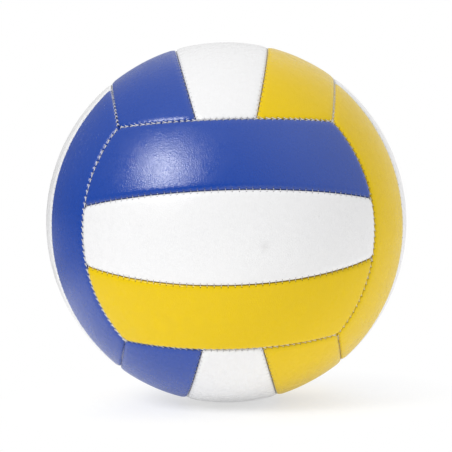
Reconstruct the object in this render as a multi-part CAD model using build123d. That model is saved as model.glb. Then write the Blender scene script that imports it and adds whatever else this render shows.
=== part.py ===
from build123d import *
import math
import os

# Volleyball sewn from six faces of three strips. Lengths are in millimetres, spans in degrees.
# The origin is the ball's centre, +Z is up, the face in the photo looks along -Y, the valve along +Y.

# Ball
ball_diameter = 210.0  # 660 mm round, the adult size
face_span = 76.2  # across the three strips of a face, at the face's middle
middle_strip_span = 29.4  # across the middle strip alone, at the face's middle
contact_patch_diameter = 11.0  # flat that the ball's own weight presses on a hard floor

# Laminate of one panel, from the outside in
cover_thickness = 1.2
foam_thickness = 2.0
lining_thickness = 0.4
glue_line = 0.1  # between two layers
turn_in = 3.8  # depth to which a cover's edge is folded into the seam
edge_round = 2.0  # outside radius of that fold
corner_extra = 0.6  # by which a panel's corners, seen from outside, are rounder than its folds
seam_gap = 0.1  # between two folded edges

# Sewing thread, which lies in the valley between two folds
thread_diameter = 0.8
thread_clearance = 0.05
thread_end_gap = 1.2  # short of the seam that it runs into

# Bladder
bladder_thickness = 0.9
bladder_gap = 0.2  # under the deepest layer of the panels

# Valve, a rubber housing bonded to the bladder, with a push-in core
valve_recess = 0.4  # valve face below the top of the ball
neck_diameter = 10.0
neck_clearance = 0.15  # around the neck, in every layer that it passes
flange_diameter = 32.0
flange_thickness = 1.4
barrel_diameter = 9.0
barrel_floor = 1.5
core_head_diameter = 7.0
core_head_thickness = 1.4
core_stem_diameter = 5.0
core_stem_length = 15.0
core_fit = 0.05  # around the core and under its head
core_end_gap = 0.5  # below the stem
needle_diameter = 1.8
needle_lead_in = 0.5  # chamfer at the mouth of the needle hole
rim_round = 0.3  # rounding of the valve's rims

# Cutting solids
cut_overrun = 5.0  # past the surfaces that are cut
sector_margin = 6.0  # degrees, past the seams that trim a strip
cut_spread = 40.0  # degrees, of a cut beside a long seam
cut_sweep = 140.0  # degrees, of that cut along its seam

# Radii about the ball's centre
ball_radius = ball_diameter / 2
foam_radius = ball_radius - cover_thickness - glue_line
lining_radius = foam_radius - foam_thickness - glue_line
panel_low = min(ball_radius - turn_in, lining_radius - lining_thickness)
bladder_radius = panel_low - bladder_gap
bladder_hollow = bladder_radius - bladder_thickness
flange_radius = bladder_hollow - glue_line

# Heights on the valve's axis
valve_top = ball_radius - valve_recess
core_head_low = valve_top - core_head_thickness
core_stem_low = core_head_low - core_stem_length
barrel_hollow = core_stem_low - core_end_gap
barrel_low = barrel_hollow - barrel_floor

# A face's long seam is a small circle through the middle of the face's edge and through the two
# corners where three faces meet, which lie on a cube's diagonals. The cone that carries it has its
# point at the ball's centre. The seam between two strips of a face is a great circle.
half_face = math.radians(face_span / 2)
half_middle = math.radians(middle_strip_span / 2)
half_corner = math.pi / 4
half_length = math.pi / 2 - half_face
corner_share = 1 / math.sqrt(3)
seam_tilt = math.atan2(math.sin(half_face) - corner_share, math.cos(half_face) - corner_share)
seam_cone = math.pi / 2 - half_face + seam_tilt

# A face in its own frame: X runs along the strips, Y across them and Z out of the ball.
along, across, outward = Vector(1, 0, 0), Vector(0, 1, 0), Vector(0, 0, 1)
half_turn = Rot(0, 0, 180)  # carries one half of a face onto the other half

# Each seam: the axis that it turns about, and the direction of its middle from the ball's centre
own_seam = (
    across * math.cos(seam_tilt) - outward * math.sin(seam_tilt),
    across * math.sin(half_face) + outward * math.cos(half_face),
)
end_seam = (
    outward * math.cos(seam_tilt) - along * math.sin(seam_tilt),
    outward * math.sin(half_face) + along * math.cos(half_face),
)
strip_seam = (
    across * math.cos(half_middle) - outward * math.sin(half_middle),
    across * math.sin(half_middle) + outward * math.cos(half_middle),
)

# The six faces: direction of the strips, outward direction, names of the strips from -Y to +Y
faces = {
    "front": ((1, 0, 0), (0, -1, 0), ("lower", "middle", "upper")),
    "back": ((-1, 0, 0), (0, 1, 0), ("lower", "middle", "upper")),
    "top": ((0, -1, 0), (0, 0, 1), ("left", "middle", "right")),
    "bottom": ((0, 1, 0), (0, 0, -1), ("left", "middle", "right")),
    "left": ((0, 0, -1), (-1, 0, 0), ("back", "middle", "front")),
    "right": ((0, 0, 1), (1, 0, 0), ("back", "middle", "front")),
}
valve_face = "back"
resting_face = "bottom"


def face_frame(name):
    strip_direction, out_direction, _ = faces[name]
    return Plane(origin=(0, 0, 0), x_dir=strip_direction, z_dir=out_direction).location


def polar(radius, angle):
    # Point in the XZ plane, at an angle from Z.
    return (radius * math.sin(angle), 0, radius * math.cos(angle))


def sector(lowest, highest, outer, inner):
    # Piece of a hollow ball, turned about the strips' direction, a little longer than a strip.
    reach = half_length + math.radians(sector_margin)
    profile = make_face(
        [
            ThreePointArc(polar(outer, -reach), polar(outer, 0), polar(outer, reach)),
            Line(polar(outer, reach), polar(inner, reach)),
            ThreePointArc(polar(inner, reach), polar(inner, 0), polar(inner, -reach)),
            Line(polar(inner, -reach), polar(outer, -reach)),
        ]
    )
    start = profile.rotate(Axis.X, -math.degrees(lowest))
    return revolve(start, Axis((0, 0, 0), (-1, 0, 0)), math.degrees(highest - lowest))


def beside_seam(seam, growth, outer, inner, spread):
    # Band between two radii that lies along a long seam, outside its cone, or inside it for a spread
    # below zero. Growth moves the cone's wall out.
    axis, middle = seam
    high, low = outer + cut_overrun, inner - cut_overrun
    near, half_way, far = (seam_cone + math.radians(spread) * share for share in (0, 1 / 2, 1))
    profile = make_face(
        [
            Line(polar(low, near), polar(high, near)),
            ThreePointArc(polar(high, near), polar(high, half_way), polar(high, far)),
            Line(polar(high, far), polar(low, far)),
            ThreePointArc(polar(low, far), polar(low, half_way), polar(low, near)),
        ]
    )
    band = revolve(profile.rotate(Axis.Z, -cut_sweep / 2), Axis.Z, cut_sweep)
    to_middle = middle - axis * axis.dot(middle)
    frame = Plane(origin=axis * (-growth / math.sin(seam_cone)), x_dir=to_middle, z_dir=axis)
    return frame.location * band


def beyond(axis, distance):
    # Half space past a plane that is square to the axis.
    size = 2 * ball_diameter
    block = Box(size, size, size, align=(Align.CENTER, Align.CENTER, Align.MIN))
    return Plane(origin=axis * distance, z_dir=axis).location * block


def opposite(seam):
    # The same seam on the other side of the face.
    return tuple(Vector(-direction.X, -direction.Y, direction.Z) for direction in seam)


def strip_block(is_middle, outer, inner, drawn_in, is_folded):
    # One strip between two radii, drawn in from the cover's own rim, with its corners and fold rounded.
    margin = math.radians(sector_margin)
    inset = seam_gap / 2 + drawn_in
    if is_middle:
        solid = sector(-half_middle - margin, half_middle + margin, outer, inner)
        solid -= beyond(strip_seam[0], -inset)
        solid -= beyond(opposite(strip_seam)[0], -inset)
    else:
        solid = sector(half_middle - margin, half_corner + margin, outer, inner)
        solid &= beyond(strip_seam[0], inset)
    solid -= beside_seam(end_seam, -inset, outer, inner, cut_spread)
    solid -= beside_seam(opposite(end_seam), -inset, outer, inner, cut_spread)
    if not is_middle:
        solid -= beside_seam(own_seam, inset, outer, inner, -cut_spread)
    fold = edge_round - drawn_in
    corners = [edge for edge in solid.edges() if abs((edge @ 0).length - (edge @ 1).length) > (outer - inner) / 2]
    if fold + corner_extra > 0:
        solid = fillet(corners, fold + corner_extra)
    if is_folded and fold > 0:
        outside = max(solid.faces(), key=lambda face: face.area)
        solid = fillet(outside.edges(), fold)
    return solid


def cover_panel(is_middle):
    # Sheet with its rim folded into the seams, so that it is a shallow tray.
    rim = ball_radius - turn_in
    outside = strip_block(is_middle, ball_radius, rim, 0, True)
    hollow = strip_block(is_middle, ball_radius - cover_thickness, rim - cut_overrun, cover_thickness, True)
    return outside - hollow


def foam_pad(is_middle):
    return strip_block(is_middle, foam_radius, foam_radius - foam_thickness, cover_thickness + glue_line, True)


def lining_sheet(is_middle):
    return strip_block(is_middle, lining_radius, lining_radius - lining_thickness, cover_thickness + glue_line, False)


def thread(seam, half_sweep, cone_angle):
    # Round cord that rests on both folds of a seam and ends short of the seams at its ends.
    axis, middle = seam
    fold_side = edge_round + seam_gap / 2
    fold_centre = ball_radius - edge_round
    reach = edge_round + thread_clearance + thread_diameter / 2
    height = math.sqrt(fold_centre**2 - fold_side**2) + math.sqrt(reach**2 - fold_side**2)
    sweep = half_sweep - thread_end_gap / (height * math.sin(cone_angle))
    profile = Plane(origin=middle * height, z_dir=axis.cross(middle)) * Circle(thread_diameter / 2)
    turning = Axis((0, 0, 0), tuple(axis))
    return revolve(profile.rotate(turning, -math.degrees(sweep)), turning, math.degrees(2 * sweep))


def disc(diameter, low, high):
    solid = Cylinder(diameter / 2, high - low, align=(Align.CENTER, Align.CENTER, Align.MIN))
    return Pos(0, 0, low) * solid


def ball_shell(outer, inner):
    # The ball's own poles lie off the valve's axis.
    return Rot(0, 90, 0) * (Sphere(outer) - Sphere(inner))


def bladder():
    hole = disc(neck_diameter + 2 * neck_clearance, bladder_hollow - cut_overrun, ball_radius)
    return ball_shell(bladder_radius, bladder_hollow) - hole


def valve_housing():
    # Neck through the panel, flange bonded under the bladder, and a barrel with a floor.
    flange_low = flange_radius - flange_thickness
    solid = ball_shell(flange_radius, flange_low) & disc(flange_diameter, 0, ball_radius)
    solid += disc(barrel_diameter, barrel_low, flange_radius)
    solid += disc(neck_diameter, (flange_low + flange_radius) / 2, valve_top)
    solid = fillet(solid.edges().group_by(Axis.Z)[-1], rim_round)
    solid -= disc(core_head_diameter + 2 * core_fit, core_head_low - core_fit, ball_radius)
    solid -= disc(core_stem_diameter + 2 * core_fit, barrel_hollow, core_head_low)
    return solid - disc(needle_diameter + 2 * core_fit, barrel_low - cut_overrun, barrel_hollow)


def valve_core():
    # Headed plug with the needle hole down its middle.
    solid = disc(core_stem_diameter, core_stem_low, core_head_low)
    solid += disc(core_head_diameter, core_head_low, valve_top)
    rims = solid.edges().group_by(Axis.Z)
    solid = fillet(rims[0] + rims[-1], rim_round)
    solid -= disc(needle_diameter, core_stem_low - cut_overrun, ball_radius)
    mouth = solid.edges().group_by(Axis.Z)[-1].sort_by(SortBy.LENGTH)[0]
    return chamfer(mouth, needle_lead_in)


os.makedirs("parts", exist_ok=True)

# Panels: three layers for each strip
valve_hole = disc(neck_diameter + 2 * neck_clearance, panel_low - cut_overrun, ball_radius + cut_overrun)
contact_patch = beyond(outward, math.sqrt(ball_radius**2 - (contact_patch_diameter / 2) ** 2))
layers = {"cover": cover_panel, "foam": foam_pad, "lining": lining_sheet}
for layer, make in layers.items():
    middle_strip, side_strip = make(True), make(False)
    for face, (_, _, (first, middle, last)) in faces.items():
        strips = {first: half_turn * side_strip, middle: middle_strip, last: side_strip}
        if face == valve_face:
            strips[middle] = middle_strip - valve_hole
        if face == resting_face:
            strips[middle] = middle_strip - contact_patch
        for strip, solid in strips.items():
            export_step(face_frame(face) * solid, f"parts/{layer}_{face}_{strip}.step")

# Thread: each face has two long seams and two seams between its strips
corner_sweep = math.atan2(1, math.cos(seam_tilt) + math.sin(seam_tilt))
end_rise = math.cos(half_middle) * math.cos(seam_tilt)
end_slope = math.atan2(math.sin(seam_tilt), end_rise)
end_reach = math.acos(math.cos(seam_cone) / math.hypot(end_rise, math.sin(seam_tilt)))
face_thread = thread(own_seam, corner_sweep, seam_cone)
strip_thread = thread(strip_seam, end_reach - end_slope, math.pi / 2)
for seam, solid in {"face": face_thread, "strip": strip_thread}.items():
    cords = []
    for face in faces:
        cords.append(face_frame(face) * solid)
        cords.append(face_frame(face) * half_turn * solid)
    export_step(Compound(children=cords), f"parts/{seam}_seam_thread.step")

# Air chamber and valve
for name, make in {"bladder": bladder, "valve_housing": valve_housing, "valve_core": valve_core}.items():
    export_step(face_frame(valve_face) * make(), f"parts/{name}.step")
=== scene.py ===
import math

import bpy
import numpy as np
from mathutils import Matrix, Vector


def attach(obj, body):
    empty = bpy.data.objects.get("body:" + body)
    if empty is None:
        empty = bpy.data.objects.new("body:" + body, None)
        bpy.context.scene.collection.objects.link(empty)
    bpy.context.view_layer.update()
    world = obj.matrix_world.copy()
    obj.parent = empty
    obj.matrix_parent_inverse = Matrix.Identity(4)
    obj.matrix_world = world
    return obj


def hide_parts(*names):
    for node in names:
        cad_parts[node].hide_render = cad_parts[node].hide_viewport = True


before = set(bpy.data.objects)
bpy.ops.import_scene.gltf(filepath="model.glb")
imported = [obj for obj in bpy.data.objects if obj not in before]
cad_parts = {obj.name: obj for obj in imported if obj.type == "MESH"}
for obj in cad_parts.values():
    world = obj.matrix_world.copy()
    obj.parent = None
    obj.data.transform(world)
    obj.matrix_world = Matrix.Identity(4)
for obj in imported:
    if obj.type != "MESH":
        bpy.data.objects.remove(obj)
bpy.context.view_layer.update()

mm = 0.001

# Volleyball of six faces with three strips each, lengths in mm and spans in degrees
ball = {
    "radius": 105.0,
    "faceSpan": 76.2,  # across a face's three strips
    "middleSpan": 29.4,  # across the middle strip
    "floor": -104.856,  # height at which the ball rests
    "facePitch": 3.5,  # between two stitches of a seam between faces
    "stripPitch": 3.9,  # between two stitches of a seam between strips
    "pitchSpread": 0.1,  # how unevenly they are spaced
    "seed": 18,
}
random = np.random.default_rng(ball["seed"])
radius = ball["radius"]
halfFace = math.radians(ball["faceSpan"] / 2)
halfMiddle = math.radians(ball["middleSpan"] / 2)
cornerShare = 1 / math.sqrt(3)
tilt = math.atan2(math.sin(halfFace) - cornerShare, math.cos(halfFace) - cornerShare)
cone = math.pi / 2 - halfFace + tilt

# strip direction, outward direction, colours of the strips in order across the face
faces = {
    "front": ((1, 0, 0), (0, -1, 0), {"lower": "yellow", "middle": "white", "upper": "blue"}),
    "back": ((-1, 0, 0), (0, 1, 0), {"lower": "blue", "middle": "white", "upper": "yellow"}),
    "top": ((0, -1, 0), (0, 0, 1), {"left": "blue", "middle": "white", "right": "yellow"}),
    "bottom": ((0, 1, 0), (0, 0, -1), {"left": "blue", "middle": "white", "right": "yellow"}),
    "left": ((0, 0, -1), (-1, 0, 0), {"back": "yellow", "middle": "white", "front": "blue"}),
    "right": ((0, 0, 1), (1, 0, 0), {"back": "blue", "middle": "white", "front": "yellow"}),
}


def makeObject(name, points, faceSets, values=None):
    # faceSets holds arrays of faces with the same number of corners each, points are in mm
    mesh = bpy.data.meshes.new(name)
    corners = np.concatenate([faceSet.ravel() for faceSet in faceSets]).astype(np.int32)
    totals = [np.full(len(faceSet), faceSet.shape[1]) for faceSet in faceSets]
    totals = np.concatenate(totals).astype(np.int32)
    starts = np.concatenate([[0], np.cumsum(totals)[:-1]]).astype(np.int32)
    mesh.vertices.add(len(points))
    mesh.vertices.foreach_set("co", (points * mm).astype(np.float32).ravel())
    mesh.loops.add(len(corners))
    mesh.loops.foreach_set("vertex_index", corners)
    mesh.polygons.add(len(totals))
    mesh.polygons.foreach_set("loop_start", starts)
    mesh.polygons.foreach_set("loop_total", totals)
    mesh.polygons.foreach_set("use_smooth", np.ones(len(totals), dtype=bool))
    mesh.update(calc_edges=True)
    for key, array in (values or {}).items():
        mesh.attributes.new(key, "FLOAT", "POINT").data.foreach_set("value", array.astype(np.float32))
    thing = bpy.data.objects.new(name, mesh)
    bpy.context.scene.collection.objects.link(thing)
    return thing


def makeSeam(kind, axis, middle, angle, halfSweep, pitch):
    # circle about an axis, with the places of its stitches along it
    out = middle - axis * (axis @ middle)
    out = out / np.linalg.norm(out)
    length = 2 * halfSweep * radius * math.sin(angle)
    count = round(length / pitch)
    places = (np.arange(count) + 0.5) / count * length - length / 2
    places += random.normal(0, ball["pitchSpread"], count)
    return {
        "kind": kind, "axis": axis, "out": out, "side": np.cross(axis, out), "angle": angle,
        "half": length / 2, "pitch": length / count, "places": places,
    }


def seamPlace(seam, directions):
    # distance from a seam, positive away from its axis, and distance along it
    angle = np.arccos(np.clip(directions @ seam["axis"], -1, 1))
    turn = np.arctan2(directions @ seam["side"], directions @ seam["out"])
    return radius * (angle - seam["angle"]), radius * math.sin(seam["angle"]) * turn


cornerSweep = math.atan2(1, math.cos(tilt) + math.sin(tilt))
endRise = math.cos(halfMiddle) * math.cos(tilt)
endReach = math.acos(math.cos(cone) / math.hypot(endRise, math.sin(tilt)))
stripSweep = endReach - math.atan2(math.sin(tilt), endRise)
faceSeams, stripSeams, faceAxes = {}, {}, {}
for face, (along, outward, _) in faces.items():
    along, outward = np.array(along, float), np.array(outward, float)
    across = np.cross(outward, along)
    faceAxes[face] = np.array([along, across, outward])
    for side in (-1, 1):
        axis = side * across * math.cos(tilt) - outward * math.sin(tilt)
        middle = side * across * math.sin(halfFace) + outward * math.cos(halfFace)
        faceSeams[face, side] = makeSeam("face", axis, middle, cone, cornerSweep, ball["facePitch"])
        axis = side * across * math.cos(halfMiddle) - outward * math.sin(halfMiddle)
        middle = side * across * math.sin(halfMiddle) + outward * math.cos(halfMiddle)
        seam = makeSeam("strip", axis, middle, math.pi / 2, stripSweep, ball["stripPitch"])
        stripSeams[face, side] = seam
print("seams", len(faceSeams) + len(stripSeams))


def panelEdges(face, part):
    # the four seams round a panel, with the sign that makes distances count into the panel
    along, across, outward = faceAxes[face]
    edges = []
    for end in (-1, 1):
        wanted = outward * math.cos(tilt) - end * along * math.sin(tilt)
        seam = max(faceSeams.values(), key=lambda each: each["axis"] @ wanted)
        edges.append((seam, -1))
    if part == 0:
        edges += [(stripSeams[face, side], 1) for side in (-1, 1)]
    else:
        edges += [(stripSeams[face, part], -1), (faceSeams[face, part], 1)]
    return edges


panel = {
    "halfGap": 0.05,  # from the line of a seam to the folded edge
    "foldRadius": 1.1,
    "rollWidth": 3.8, "rollDepth": {"face": 0.7, "strip": 0.85},  # slope towards the fold
    "rippleDepth": 0.2, "rippleReach": 1.7,  # pull of each stitch on the edge
    "pitPlace": {"face": 0.8, "strip": 1.1}, "pitRadius": 0.3, "pitDepth": 0.4,  # needle holes
    "creaseShare": 0.045,  # creases for each mm of edge
    "creaseDepth": 0.2, "creaseLength": (4.0, 8.5), "creaseWidth": (0.7, 1.3),
    "creaseSlant": 0.25, "creaseStrength": (0.4, 1),
    "lumpDepth": 0.055, "lumpLength": (26.0, 50.0), "lumpCount": 10, "lumpLift": 1.5,
    "valleyReach": 0.9, "rimReach": 3.0,  # grime and painted shade in the seam, stretched leather beside it
    "flangeDepth": 3.4, "sheet": 0.95, "thickness": 1.2,
    "flangeRows": (1 / 3, 2 / 3, 1),  # shares of the way down to the flange's lower edge
    "middleSize": (182, 53.9), "outerSize": (158, 42.9),  # along and across, for the mesh spacing
    "edgeLines": (0, 0.1, 0.2, 0.35, 0.5, 0.7, 0.9, 1.1, 1.3, 1.6, 2.0, 2.5, 3.2, 4.0),
    "fineStep": 0.3, "coarseCount": 4,  # mesh spacing by the edges, and how many of it make one inside
    "fitRounds": 24,  # that fit an outer strip's width to its curved ends
}


def endAngle(across, gap):
    # how far a strip reaches along its face
    rise, lean = np.cos(across) * math.cos(tilt), math.sin(tilt)
    return np.arccos(math.cos(cone - gap) / np.hypot(rise, lean)) - np.arctan2(lean, rise)


def stripDirections(part, u, t, inset):
    # directions in the face's own frame, for places from -1 to 1 along and across a strip
    gap = inset / radius
    if part == 0:
        across = t * (halfMiddle - gap)
        along = u * endAngle(across, gap)
    else:
        across = np.full(np.broadcast(u, t).shape, (halfMiddle + halfFace) / 2)
        for _ in range(panel["fitRounds"]):
            along = u * endAngle(across, gap)
            low = halfMiddle + np.arcsin(math.sin(gap) / np.cos(along))
            high = tilt + np.arcsin(math.cos(cone + gap) / np.cos(along))
            across = low + (high - low) * (t + 1) / 2
    return np.stack([np.sin(along), np.cos(along) * np.sin(across), np.cos(along) * np.cos(across)], -1)


def gridLines(length):
    # places from -1 to 1, close together by the edges
    edge = np.array(panel["edgeLines"])
    inner = length - 2 * edge[-1]
    count = panel["coarseCount"] * round(inner / panel["fineStep"] / panel["coarseCount"])
    middle = edge[-1] + inner * np.arange(1, count) / count
    return 2 * np.concatenate([edge, middle, length - edge[::-1]]) / length - 1


def fanTriangles(sides, coarse, rows, columns, lows, highs):
    # joins the fine vertices of four sides to the border of a coarse grid
    triangles = []

    def fan(fine, first, last, tip, turned):
        for k in range(first, last):
            pair = (fine[k + 1], fine[k]) if turned else (fine[k], fine[k + 1])
            triangles.append((*pair, tip))

    bottom, top, left, right = sides
    for fine, border, places, low, high, turned in (
        (bottom, coarse[:, 0], rows, lows[0], highs[0], False),
        (top, coarse[:, -1], rows, lows[0], highs[0], True),
        (left, coarse[0], columns, lows[1], highs[1], True),
        (right, coarse[-1], columns, lows[1], highs[1], False),
    ):
        fan(fine, low, places[0], border[0], turned)
        fan(fine, places[-1], high, border[-1], turned)
        for k in range(len(places) - 1):
            half = (places[k] + places[k + 1]) // 2
            fan(fine, places[k], half, border[k], turned)
            fan(fine, half, places[k + 1], border[k + 1], turned)
            pair = (border[k], border[k + 1]) if turned else (border[k + 1], border[k])
            triangles.append((fine[half], *pair))
    return np.array(triangles)


def gridQuads(index):
    return np.stack([index[:-1, :-1], index[1:, :-1], index[1:, 1:], index[:-1, 1:]], -1).reshape(-1, 4)


def panelLayout(part, length, width):
    # vertices and faces of a panel that is a closed tray, the same for every panel of its kind
    lines = gridLines(length), gridLines(width)
    count = len(lines[0]), len(lines[1])
    band, step = len(panel["edgeLines"]) - 1, panel["coarseCount"]
    rows = np.arange(band + step, count[0] - 1 - band, step)
    columns = np.arange(band + step, count[1] - 1 - band, step)
    picked = np.ix_(rows, columns)
    used = np.zeros(count, bool)
    used[: band + 1] = used[-band - 1 :] = True
    used[:, : band + 1] = used[:, -band - 1 :] = True
    used[picked] = True
    index = np.full(count, -1)
    index[used] = np.arange(used.sum())
    i, j = np.meshgrid(np.arange(count[0] - 1), np.arange(count[1] - 1), indexing="ij")
    near = (i < band) | (i >= count[0] - 1 - band) | (j < band) | (j >= count[1] - 1 - band)
    i, j = i[near], j[near]
    quads = [np.stack([index[i, j], index[i + 1, j], index[i + 1, j + 1], index[i, j + 1]], 1)]
    coarse = index[picked]
    quads.append(gridQuads(coarse))
    sides = index[:, band], index[:, -1 - band], index[band], index[-1 - band]
    lows, highs = (band, band), (count[0] - 1 - band, count[1] - 1 - band)
    triangles = [fanTriangles(sides, coarse, rows, columns, lows, highs)]

    # the rim's loop, seen from outside, and the rows that go down from it and back up inside
    last = count[0] - 1, count[1] - 1
    ring = [(k, 0) for k in range(last[0])] + [(last[0], k) for k in range(last[1])]
    ring += [(k, last[1]) for k in range(last[0], 0, -1)] + [(0, k) for k in range(last[1], 0, -1)]
    ring = np.array(ring)
    loop = index[ring[:, 0], ring[:, 1]]
    start = used.sum()
    rim = loop
    for _ in range(len(panel["flangeRows"]) + 3):
        lower = start + np.arange(len(ring))
        quads.append(np.stack([loop, lower, np.roll(lower, -1), np.roll(loop, -1)], 1))
        loop, start = lower, start + len(ring)

    # the inside, with its faces turned round
    inner = np.full(count, -1)
    inner[ring[:, 0], ring[:, 1]] = loop
    coarseInner = start + np.arange(len(rows) * len(columns)).reshape(len(rows), len(columns))
    quads.append(gridQuads(coarseInner)[:, ::-1])
    sides = inner[:, 0], inner[:, -1], inner[0], inner[-1]
    triangles.append(fanTriangles(sides, coarseInner, rows, columns, (0, 0), last)[:, ::-1])

    u, t = np.meshgrid(*lines, indexing="ij")
    gap, sheet = panel["halfGap"], panel["sheet"]
    rimU, rimT = u[ring[:, 0], ring[:, 1]], t[ring[:, 0], ring[:, 1]]
    return {
        "top": stripDirections(part, u[used], t[used], gap), "rim": rim,
        "rows": [stripDirections(part, rimU, rimT, inset) for inset in (gap, sheet, 2 * sheet)],
        "inside": stripDirections(part, u[picked].ravel(), t[picked].ravel(), gap),
        "quads": np.concatenate(quads), "triangles": np.concatenate(triangles),
    }


lumps = []
for _ in range(panel["lumpCount"]):
    direction = random.normal(size=3)
    direction *= 2 * math.pi / random.uniform(*panel["lumpLength"]) / np.linalg.norm(direction)
    lumps.append((direction, random.uniform(0, 2 * math.pi)))


def panelRelief(directions, edges):
    # depth below the ball's round, and what the leather's finish needs to know
    folded = np.zeros(len(directions))
    depth = np.zeros(len(directions))
    pit = np.zeros(len(directions))
    nearest = np.full(len(directions), np.inf)
    for seam, sign in edges:
        away, place = seamPlace(seam, directions)
        away = np.maximum(sign * away, 0)
        nearest = np.minimum(nearest, away)
        folded += np.clip(1 - away / panel["foldRadius"], 0, 1) ** 2
        depth += panel["rollDepth"][seam["kind"]] * np.clip(1 - away / panel["rollWidth"], 0, 1) ** 2
        closest = np.round((place + seam["half"]) / seam["pitch"] - 0.5).astype(int)
        offset = place - seam["places"][np.clip(closest, 0, len(seam["places"]) - 1)]
        pull = 0.5 + 0.5 * np.cos(2 * math.pi * np.clip(offset / seam["pitch"], -0.5, 0.5))
        depth += panel["rippleDepth"] * pull * np.exp(-away / panel["rippleReach"])
        fromHole = (away - panel["pitPlace"][seam["kind"]]) ** 2 + offset**2
        pit = np.maximum(pit, np.exp(-fromHole / panel["pitRadius"] ** 2))
        for _ in range(round(panel["creaseShare"] * 2 * seam["half"])):
            middle = random.uniform(-seam["half"], seam["half"])
            long, wide = random.uniform(*panel["creaseLength"]), random.uniform(*panel["creaseWidth"])
            slant = random.normal(0, panel["creaseSlant"])
            deep = panel["creaseDepth"] * random.uniform(*panel["creaseStrength"])
            across = place - middle - slant * away
            fade = np.clip(1 - away / long, 0, 1) ** 1.5
            depth += deep * fade * np.exp(-((across / wide) ** 2))
    folded = np.minimum(np.sqrt(folded), 1)
    depth += panel["foldRadius"] * (1 - np.sqrt(1 - folded**2)) + panel["pitDepth"] * pit
    waves = sum(np.cos(radius * directions @ wave + phase) for wave, phase in lumps)
    depth += panel["lumpDepth"] * (waves / math.sqrt(len(lumps)) + panel["lumpLift"]).clip(0)
    valley = np.clip(1 - nearest / panel["valleyReach"], 0, 1)
    return depth, {"valley": valley, "pit": pit, "rim": np.exp(-nearest / panel["rimReach"])}


def buildPanel(name, face, part, layout):
    turned = np.array([-1, -1, 1]) if part < 0 else np.ones(3)
    toWorld = faceAxes[face]
    directions = (layout["top"] * turned) @ toWorld
    depth, values = panelRelief(directions, panelEdges(face, part))
    rows = [(row * turned) @ toWorld for row in layout["rows"]]
    rimDepth, flange, inside = depth[layout["rim"]], panel["flangeDepth"], panel["thickness"]
    loops = [(rows[0], rimDepth + (flange - rimDepth) * share) for share in panel["flangeRows"]]
    loops += [(rows[1], flange), (rows[1], (flange + inside) / 2), (rows[2], inside)]
    points = [directions * (radius - depth)[:, None]]
    points += [row * (radius - np.broadcast_to(low, len(row)))[:, None] for row, low in loops]
    points.append(((layout["inside"] * turned) @ toWorld) * (radius - inside))
    points = np.concatenate(points)
    points[:, 2] = np.maximum(points[:, 2], ball["floor"])
    hidden = len(points) - len(depth)
    for key, fill in {"valley": 1, "pit": 0, "rim": 1}.items():
        values[key] = np.concatenate([values[key], np.full(hidden, fill)])
    return makeObject(name, points, [layout["quads"], layout["triangles"]], values)


layouts = {0: panelLayout(0, *panel["middleSize"]), 1: panelLayout(1, *panel["outerSize"])}
layouts[-1] = layouts[1]
panels = {}
for face, (_, _, strips) in faces.items():
    for part, (strip, colour) in zip((-1, 0, 1), strips.items()):
        piece = buildPanel(f"panel_{face}_{strip}", face, part, layouts[part])
        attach(piece, "ball")
        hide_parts(f"cover_{face}_{strip}")
        panels[face, strip] = piece, colour
print("panels", len(panels), "of", len(layouts[0]["quads"]), "and", len(layouts[1]["quads"]), "quads")


valveHole = {"radius": 5.15, "sides": 96, "below": 8, "above": 4, "sharpFrom": 45}


def punchValveHole(piece):
    # round hole through the panel that the valve's neck comes up in
    count = valveHole["sides"]
    turn = np.arange(count) * 2 * math.pi / count
    circle = np.stack([np.cos(turn), np.zeros(count), np.sin(turn)], 1) * valveHole["radius"]
    low = circle + [0, radius - valveHole["below"], 0]
    high = circle + [0, radius + valveHole["above"], 0]
    k = np.arange(count)
    walls = np.stack([k, k + count, np.roll(k, -1) + count, np.roll(k, -1)], 1)
    caps = np.array([k, (k + count)[::-1]])
    cutter = makeObject("valveCutter", np.concatenate([low, high]), [walls, caps])
    hole = piece.modifiers.new("valveHole", "BOOLEAN")
    hole.operation, hole.solver, hole.object = "DIFFERENCE", "EXACT", cutter
    shaped = piece.evaluated_get(bpy.context.evaluated_depsgraph_get())
    mesh = bpy.data.meshes.new_from_object(shaped)
    piece.modifiers.clear()
    piece.data = mesh
    mesh.set_sharp_from_angle(angle=math.radians(valveHole["sharpFrom"]))
    bpy.data.objects.remove(cutter)
    print("valve hole, in a panel of", len(mesh.polygons), "faces")


punchValveHole(panels["back", "middle"][0])


stitch = {
    "face": {
        "threadRadius": 0.19, "ahead": 2.5, "reach": 0.78, "sink": 0.0,
        # seams whose thread lies deeper, so that little more than their holes show
        "drawnIn": {("right", 1): 0.45, ("front", -1): 0.4, ("bottom", 1): 0.6, ("bottom", -1): 0.6},
    },
    "strip": {"threadRadius": 0.15, "ahead": 0.15, "reach": 0.55, "sink": 0.3, "drawnIn": {}},
    "aheadCurve": 2.2,  # how soon the arms of a stitch turn to run along the seam
    "aheadSpread": 0.12, "skewSpread": 0.1, "heightSpread": 0.04,
    "strandDepth": 0.14, "strandPitch": 0.9,  # two strands twisted together
    "sides": 8,
    # shares of the reach from a hole to the seam, and the depth at each
    "across": (1.0, 0.92, 0.80, 0.6, 0.4, 0.25, 0.12, 0.0),
    "depth": (1.15, 0.74, 0.62, 0.70, 0.82, 0.92, 0.98, 1.0),
}


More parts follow.
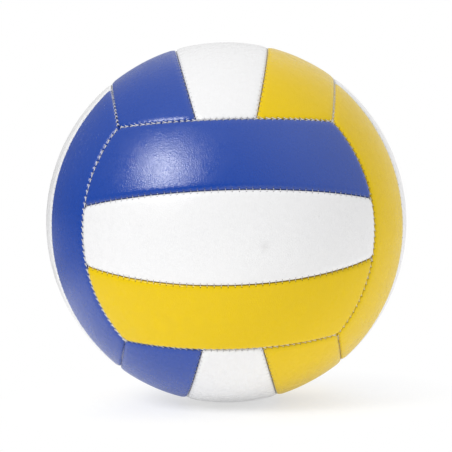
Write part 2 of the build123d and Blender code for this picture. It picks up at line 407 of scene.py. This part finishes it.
def buildStitches(kind, seams):
    values = stitch[kind]
    half = np.array(stitch["across"])
    across = np.concatenate([half, -half[-2::-1]]) * values["reach"]
    depth = np.concatenate([stitch["depth"], stitch["depth"][-2::-1]]) + values["sink"]
    ahead = values["ahead"] * (1 - np.abs(across) / values["reach"]) ** stitch["aheadCurve"]
    sides, steps = stitch["sides"], len(across)
    around = np.arange(sides) * 2 * math.pi / sides
    points, walls, caps, start = [], [], [], 0
    for name, seam in seams.items():
        low = depth + values["drawnIn"].get(name, 0)
        for place in seam["places"]:
            amount = 1 + random.normal(0, stitch["aheadSpread"])
            skew = random.normal(0, stitch["skewSpread"])
            turn = (place + ahead * amount + skew * across) / (radius * math.sin(seam["angle"]))
            angle = seam["angle"] + across / radius
            circle = np.cos(turn)[:, None] * seam["out"] + np.sin(turn)[:, None] * seam["side"]
            ray = np.cos(angle)[:, None] * seam["axis"] + np.sin(angle)[:, None] * circle
            path = ray * (radius - low + random.normal(0, stitch["heightSpread"]))[:, None]
            run = np.gradient(path, axis=0)
            run /= np.linalg.norm(run, axis=1)[:, None]
            up = ray - run * (ray * run).sum(1)[:, None]
            up /= np.linalg.norm(up, axis=1)[:, None]
            over = np.cross(run, up)
            length = np.concatenate([[0], np.cumsum(np.linalg.norm(np.diff(path, axis=0), axis=1))])
            twist = np.cos(2 * around[None] + 2 * math.pi * length[:, None] / stitch["strandPitch"])
            size = values["threadRadius"] * (1 + stitch["strandDepth"] * twist)[..., None]
            ring = np.cos(around)[:, None] * up[:, None] + np.sin(around)[:, None] * over[:, None]
            points.append((path[:, None] + size * ring).reshape(-1, 3))
            k = start + np.arange(steps * sides).reshape(steps, sides)
            near, far = k[:-1], k[1:]
            wall = np.stack([near, np.roll(near, -1, 1), np.roll(far, -1, 1), far], -1)
            walls.append(wall.reshape(-1, 4)[:, ::-1])
            caps += [k[0], k[-1][::-1]]
            start += steps * sides
    faceSets = [np.concatenate(walls), np.array(caps)]
    piece = makeObject(f"{kind}_seam_stitches", np.concatenate(points), faceSets)
    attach(piece, "ball")
    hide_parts(f"{kind}_seam_thread")
    print(piece.name, sum(len(seam["places"]) for seam in seams.values()), "stitches")
    return piece


stitches = [buildStitches("face", faceSeams), buildStitches("strip", stripSeams)]


class Wire:
    # one value in a finish, so that sums on it read as Python
    def __init__(self, finish, socket):
        self.finish = finish
        self.socket = socket

    def maths(self, operation, first, second):
        return self.finish.node("ShaderNodeMath", {"operation": operation}, {0: first, 1: second})

    def __add__(self, other):
        return self.maths("ADD", self, other)

    def __sub__(self, other):
        return self.maths("SUBTRACT", self, other)

    def __rsub__(self, other):
        return self.maths("SUBTRACT", other, self)

    def __mul__(self, other):
        return self.maths("MULTIPLY", self, other)

    def __truediv__(self, other):
        return self.maths("DIVIDE", self, other)

    def __rtruediv__(self, other):
        return self.maths("DIVIDE", other, self)

    __radd__ = __add__
    __rmul__ = __mul__


class Finish:
    # a material, or the world, whose nodes all come from one method
    def __init__(self, owner):
        owner.use_nodes = True
        self.tree = owner.node_tree
        self.tree.nodes.clear()

    def node(self, kind, settings=None, inputs=None, output=0):
        made = self.tree.nodes.new(kind)
        for key, value in (settings or {}).items():
            setattr(made, key, value)
        for key, value in (inputs or {}).items():
            if isinstance(value, Wire):
                self.tree.links.new(value.socket, made.inputs[key])
            else:
                made.inputs[key].default_value = value
        return Wire(self, made.outputs[output]) if made.outputs else None

    def ramp(self, value, low, high):
        # 0 at low, 1 at high, straight between
        inputs = {"Value": value, "From Min": low, "From Max": high}
        return self.node("ShaderNodeMapRange", {"clamp": True}, inputs)

    def mix(self, share, first, second):
        # sockets 6 and 7 and output 2 are the node's colours
        return self.node("ShaderNodeMix", {"data_type": "RGBA"}, {0: share, 6: first, 7: second}, 2)

    def noise(self, place, scale, detail=2.0, output=0):
        inputs = {"Vector": place, "Scale": scale, "Detail": detail}
        return self.node("ShaderNodeTexNoise", None, inputs, output)

    def surface(self, shader):
        self.node("ShaderNodeOutputMaterial", None, {"Surface": shader})


def attribute(finish, name):
    return finish.node("ShaderNodeAttribute", {"attribute_name": name}, None, "Fac")


def objectPlace(finish):
    return finish.node("ShaderNodeTexCoord", None, None, "Object")


leather = {
    # each colour's seam tone darkens the seam valleys: grime and painted shade together
    "white": {
        "colour": (0.87, 0.87, 0.875, 1), "shade": (0.845, 0.845, 0.855, 1),
        "grimeAndShade": (0.42, 0.41, 0.40, 1), "specular": 0.5,
    },
    "blue": {
        "colour": (0.005, 0.056, 0.37, 1), "shade": (0.004, 0.046, 0.32, 1),
        "grimeAndShade": (0.004, 0.038, 0.26, 1), "specular": 0.78,
    },
    "yellow": {
        "colour": (0.80, 0.56, 0.004, 1), "shade": (0.75, 0.51, 0.003, 1),
        "grimeAndShade": (0.44, 0.25, 0.006, 1), "specular": 0.22,
    },
    "hole": (0.02, 0.02, 0.022, 1),  # painted shade inside a needle hole
    "scuff": (0.30, 0.29, 0.27, 1),
    # middle of each scuff, how far it reaches and how much it shows
    "scuffs": (
        ((18.8, -103.1, -5.0), 4.2, 0.12),
        ((49.8, -90.0, -15.3), 0.9, 0.35),
        ((49.3, -92.0, 9.6), 0.8, 0.3),
    ),
    "pebbleSize": 1.25, "pebbleWander": 0.9, "pebbleEdge": 0.30,  # mm, and the edge as a share
    "grainDepth": 0.000084, "grainStrength": 0.75, "roughness": 0.28,
    "noise": {"wander": 420.0, "fine": 2600.0, "patch": 130.0, "broad": 26.0},  # for each metre
    "unevenShare": 0.2, "grooveShare": 0.22,  # of the shade
    "glossChange": {"patch": 0.16, "fine": 0.08, "grimeAndShade": 0.25, "rim": 0.03},
}


def leatherFinish(colour):
    shades = leather[colour]
    material = bpy.data.materials.new(f"leather_{colour}")
    finish = Finish(material)
    place = objectPlace(finish)
    valley, pit, rim = (attribute(finish, name) for name in ("valley", "pit", "rim"))
    # pebbles with winding edges
    scale = leather["noise"]
    wander = finish.noise(place, scale["wander"], 2.0, 1)
    far = leather["pebbleWander"] * mm
    shift = finish.node("ShaderNodeVectorMath", {"operation": "SCALE"}, {0: wander, "Scale": far})
    moved = finish.node("ShaderNodeVectorMath", {"operation": "ADD"}, {0: place, 1: shift})
    cells = finish.node(
        "ShaderNodeTexVoronoi", {"feature": "DISTANCE_TO_EDGE"},
        {"Vector": moved, "Scale": 1000 / leather["pebbleSize"]},
    )
    pebble = finish.ramp(cells, 0.0, leather["pebbleEdge"])
    fine = finish.noise(place, scale["fine"], 3.0)
    broad = finish.noise(place, scale["broad"], 3.0)
    patch = finish.noise(place, scale["patch"], 4.0)
    height = pebble * 0.7 + fine * 0.3 - rim * pebble * 0.25
    bump = finish.node("ShaderNodeBump", None, {
        "Strength": leather["grainStrength"], "Distance": leather["grainDepth"], "Height": height,
    })
    # colour: a little uneven, darker between pebbles, with grime and painted shade in the seams
    uneven = finish.ramp(broad * 0.6 + patch * 0.4, 0.40, 0.66)
    groove = (1 - pebble) * leather["grooveShare"]
    base = finish.mix(uneven * leather["unevenShare"] + groove, shades["colour"], shades["shade"])
    # the seam valleys darkened: grime and painted shade of the seam's hollow
    grimeAndShade = finish.ramp(valley, 0.35, 1.0)
    base = finish.mix(grimeAndShade, base, shades["grimeAndShade"])
    # needle holes painted near black: painted shade inside each hole
    base = finish.mix(finish.ramp(pit, 0.2, 0.75), base, leather["hole"])
    for middle, reach, share in leather["scuffs"]:
        spot = {0: place, 1: [c * mm for c in middle]}
        away = finish.node("ShaderNodeVectorMath", {"operation": "DISTANCE"}, spot, "Value")
        ragged = away + fine * mm
        worn = (1 - finish.ramp(ragged, 0.3 * reach * mm, (reach + 0.5) * mm)) * share
        base = finish.mix(worn, base, leather["scuff"])
    change = leather["glossChange"]
    gloss = leather["roughness"] + (patch - 0.5) * change["patch"] + (fine - 0.5) * change["fine"]
    gloss = gloss + grimeAndShade * change["grimeAndShade"] - rim * change["rim"]
    shader = finish.node("ShaderNodeBsdfPrincipled", None, {
        "Base Color": base, "Roughness": gloss, "Normal": bump,
        "Specular IOR Level": shades["specular"],
    })
    finish.surface(shader)
    return material


thread = {
    "colour": (0.87, 0.87, 0.87, 1), "shade": (0.71, 0.71, 0.72, 1), "roughness": 0.7,
    "fibreScale": 5200.0, "wornScale": 300.0, "fibreDepth": 0.00004, "sheen": 0.3,
}


def threadFinish():
    material = bpy.data.materials.new("sewing_thread")
    finish = Finish(material)
    place = objectPlace(finish)
    fibre = finish.noise(place, thread["fibreScale"], 3.0)
    worn = finish.noise(place, thread["wornScale"], 2.0)
    inputs = {"Strength": 0.5, "Distance": thread["fibreDepth"], "Height": fibre}
    bump = finish.node("ShaderNodeBump", None, inputs)
    bright = finish.ramp(fibre * 0.5 + worn * 0.5, 0.35, 0.7)
    base = finish.mix(bright, thread["shade"], thread["colour"])
    rough = thread["roughness"] + (fibre - 0.5) * 0.2
    shader = finish.node(
        "ShaderNodeBsdfPrincipled", None,
        {"Base Color": base, "Roughness": rough, "Normal": bump, "Sheen Weight": thread["sheen"]},
    )
    finish.surface(shader)
    return material


innerLayers = {
    "foam": {
        "colour": (0.62, 0.60, 0.55, 1), "shade": (0.46, 0.44, 0.40, 1),
        "cell": 0.9, "roughness": 0.9,  # cell in mm
    },
    "lining": {
        "colour": (0.66, 0.65, 0.61, 1), "shade": (0.42, 0.41, 0.39, 1),
        "cell": 0.8, "roughness": 0.85,
    },
    "bladder": {
        "colour": (0.035, 0.033, 0.032, 1), "shade": (0.022, 0.021, 0.021, 1),
        "cell": 1.6, "roughness": 0.55,
    },
    "valve": {
        "colour": (0.030, 0.030, 0.031, 1), "shade": (0.016, 0.016, 0.017, 1),
        "cell": 0.7, "roughness": 0.5,
    },
    "core": {
        "colour": (0.05, 0.05, 0.052, 1), "shade": (0.03, 0.03, 0.032, 1),
        "cell": 0.6, "roughness": 0.45,
    },
}
innerDepth = 0.00005  # of their bump, in metres


def softFinish(name, isWoven):
    # foam cells, moulded rubber, or a plain weave
    values = innerLayers[name]
    material = bpy.data.materials.new(f"{name}_finish")
    finish = Finish(material)
    place = objectPlace(finish)
    scale = 1000 / values["cell"]
    fine = finish.noise(place, 2 * scale, 3.0)
    if isWoven:
        waves = []
        for direction in ("X", "Y", "Z"):
            settings = {"wave_type": "BANDS", "bands_direction": direction}
            inputs = {"Vector": place, "Scale": scale / 20}
            waves.append(finish.node("ShaderNodeTexWave", settings, inputs, 1))
        grain = (waves[0] + waves[1] + waves[2]) / 3
    else:
        inputs = {"Vector": place, "Scale": scale}
        cells = finish.node("ShaderNodeTexVoronoi", {"feature": "F1"}, inputs)
        grain = finish.ramp(cells, 0.0, 0.9)
    height = grain * 0.6 + fine * 0.4
    inputs = {"Strength": 0.5, "Distance": innerDepth, "Height": height}
    bump = finish.node("ShaderNodeBump", None, inputs)
    base = finish.mix(finish.ramp(height, 0.25, 0.75), values["shade"], values["colour"])
    rough = values["roughness"] + (fine - 0.5) * 0.15
    shader = finish.node(
        "ShaderNodeBsdfPrincipled", None, {"Base Color": base, "Roughness": rough, "Normal": bump}
    )
    finish.surface(shader)
    return material


def dress(thing, material):
    thing.data.materials.clear()
    thing.data.materials.append(material)


leathers = {colour: leatherFinish(colour) for colour in ("white", "blue", "yellow")}
for piece, colour in panels.values():
    dress(piece, leathers[colour])
threadLook = threadFinish()
for piece in stitches:
    dress(piece, threadLook)
innerLooks = {name: softFinish(name, name == "lining") for name in innerLayers}
innerNames = {"bladder": "bladder", "valve_housing": "valve", "valve_core": "core"}
for name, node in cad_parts.items():
    kind = innerNames.get(name, name.split("_")[0])
    if kind in innerLooks:
        for slot in node.material_slots:
            slot.material = innerLooks[kind]
print("finishes", len(leathers) + len(innerLooks) + 1)


stage = {
    "floorSize": 6.0, "floorColour": (0.60, 0.60, 0.60, 1),
    "floorGlow": 0.50, "tableGlow": 0.67,  # as the camera sees the floor, and as the ball does
    "glowBounces": (1.4, 1.6),  # diffuse bounces after which the glow is left out
    "glossDim": 0.5,  # how much less of the glow shows in gloss
    # metres from the ball's middle, between which the floor turns to plain white
    "fadeFrom": 0.085, "fadeTo": 0.175,
    # dark cloth on the floor that only the ball sees: its distance, and where it ends towards the right
    "flagColour": (0.35, 0.35, 0.35, 1), "flagStart": (0.26, 0.40), "flagEnd": (-0.15, 0.05),
    # light of the white room, with the headings between which each part of it grows
    "roomLeft": 0.14, "roomRight": 0.68, "sideSpan": (-0.55, 0.6),
    "roomTop": 0.42, "topSpan": (0.0, 1.0),
    "roomFront": -0.37, "frontSpan": (0.2, 1.0),
    "roomBack": 0.38, "backSpan": (-0.95, -0.45), "backSides": (-0.35, 0.25),
    "lamps": {
        "key": {
            "direction": (-0.582, -0.581, 0.568), "distance": 1.265, "size": (0.50, 0.44),
            "power": 9.9, "gloss": True,
        },
        "rim": {
            "direction": (-0.62, 0.74, 0.27), "distance": 1.4, "size": (0.4, 0.4),
            "power": 4.4, "gloss": False,
        },
    },
}
half = stage["floorSize"] / mm
corners = np.array([(-half, -half, 0), (half, -half, 0), (half, half, 0), (-half, half, 0)])
floor = makeObject("floor", corners + [0, 0, ball["floor"]], [np.array([[0, 1, 2, 3]])])
floorMaterial = bpy.data.materials.new("floor_white")
finish = Finish(floorMaterial)
place = objectPlace(finish)
reach = finish.node("ShaderNodeVectorMath", {"operation": "LENGTH"}, {0: place}, "Value")
seen = finish.node("ShaderNodeLightPath", None, None, "Is Camera Ray")
paint = finish.node("ShaderNodeBsdfDiffuse", None, {"Color": stage["floorColour"]})
depth = finish.node("ShaderNodeLightPath", None, None, "Diffuse Depth")
mirrored = finish.node("ShaderNodeLightPath", None, None, "Is Glossy Ray")
once = (1 - finish.ramp(depth, *stage["glowBounces"])) * (1 - mirrored * stage["glossDim"])
tableGlow, floorGlow, white = (
    finish.node("ShaderNodeEmission", None, {"Color": (1, 1, 1, 1), "Strength": strength})
    for strength in (stage["tableGlow"], stage["floorGlow"], 1.0)
)
lit = finish.node("ShaderNodeMixShader", None, {0: seen, 1: tableGlow, 2: floorGlow})
table = finish.node("ShaderNodeAddShader", None, {0: paint, 1: lit})
table = finish.node("ShaderNodeMixShader", None, {0: once, 1: paint, 2: table})
flag = finish.node("ShaderNodeBsdfDiffuse", None, {"Color": stage["flagColour"]})
sideways = finish.node("ShaderNodeSeparateXYZ", None, {0: place}, "X")
leftward = 1 - finish.ramp(sideways, *stage["flagEnd"])
flagged = finish.ramp(reach, *stage["flagStart"]) * leftward * (1 - seen)
table = finish.node("ShaderNodeMixShader", None, {0: flagged, 1: table, 2: flag})
share = finish.ramp(reach, stage["fadeFrom"], stage["fadeTo"]) * seen
finish.surface(finish.node("ShaderNodeMixShader", None, {0: share, 1: table, 2: white}))
dress(floor, floorMaterial)

world = bpy.data.worlds.new("white_room")
bpy.context.scene.world = world
finish = Finish(world)
heading = finish.node("ShaderNodeTexCoord", None, None, "Generated")
sideways = finish.node("ShaderNodeSeparateXYZ", None, {0: heading}, "X")
seen = finish.node("ShaderNodeLightPath", None, None, "Is Camera Ray")
upward = finish.node("ShaderNodeSeparateXYZ", None, {0: heading}, "Z")
forward = finish.node("ShaderNodeSeparateXYZ", None, {0: heading}, "Y") * -1
rightMore = stage["roomRight"] - stage["roomLeft"]
room = stage["roomLeft"] + finish.ramp(sideways, *stage["sideSpan"]) * rightMore
room = room + finish.ramp(upward, *stage["topSpan"]) * stage["roomTop"]
room = room + finish.ramp(forward, *stage["frontSpan"]) * stage["roomFront"]
behind = (1 - finish.ramp(forward, *stage["backSpan"])) * finish.ramp(sideways, *stage["backSides"])
room = room + behind * stage["roomBack"]
strength = room + (1 - room) * seen
back = finish.node("ShaderNodeBackground", None, {"Color": (1, 1, 1, 1), "Strength": strength})
finish.node("ShaderNodeOutputWorld", None, {"Surface": back})


def standAt(direction, distance):
    # a place that far from the ball's middle, looking back at it
    facing = direction.to_track_quat("Z", "Y").to_matrix().to_4x4()
    return Matrix.Translation(direction * distance) @ facing


for name, values in stage["lamps"].items():
    light = bpy.data.lights.new(name, "AREA")
    light.shape, light.energy = "RECTANGLE", values["power"]
    light.size, light.size_y = values["size"]
    lamp = bpy.data.objects.new(name, light)
    lamp.visible_glossy = values["gloss"]
    lamp.matrix_world = standAt(Vector(values["direction"]).normalized(), values["distance"])
    bpy.context.scene.collection.objects.link(lamp)

view = {
    "distance": 1.641, "elevation": 4.88, "azimuth": -1.1, "roll": -1.57,
    "lens": 223.9, "sensor": 36.0, "nearest": 0.05,
    "picture": 452, "shift": (-0.3, -3.7),  # in pixels
}
camera = bpy.data.cameras.new("camera")
camera.lens, camera.sensor_width = view["lens"], view["sensor"]
camera.shift_x, camera.shift_y = (pixels / view["picture"] for pixels in view["shift"])
camera.clip_start = view["nearest"]
cameraObject = bpy.data.objects.new("camera", camera)
high, turn = math.radians(view["elevation"]), math.radians(view["azimuth"])
toCamera = Vector((math.sin(turn) * math.cos(high), -math.cos(turn) * math.cos(high), math.sin(high)))
spin = Matrix.Rotation(math.radians(view["roll"]), 4, "Z")
cameraObject.matrix_world = standAt(toCamera, view["distance"]) @ spin
bpy.context.scene.collection.objects.link(cameraObject)
bpy.context.scene.camera = cameraObject
bpy.context.scene.view_settings.view_transform = "Standard"
print("stage set")
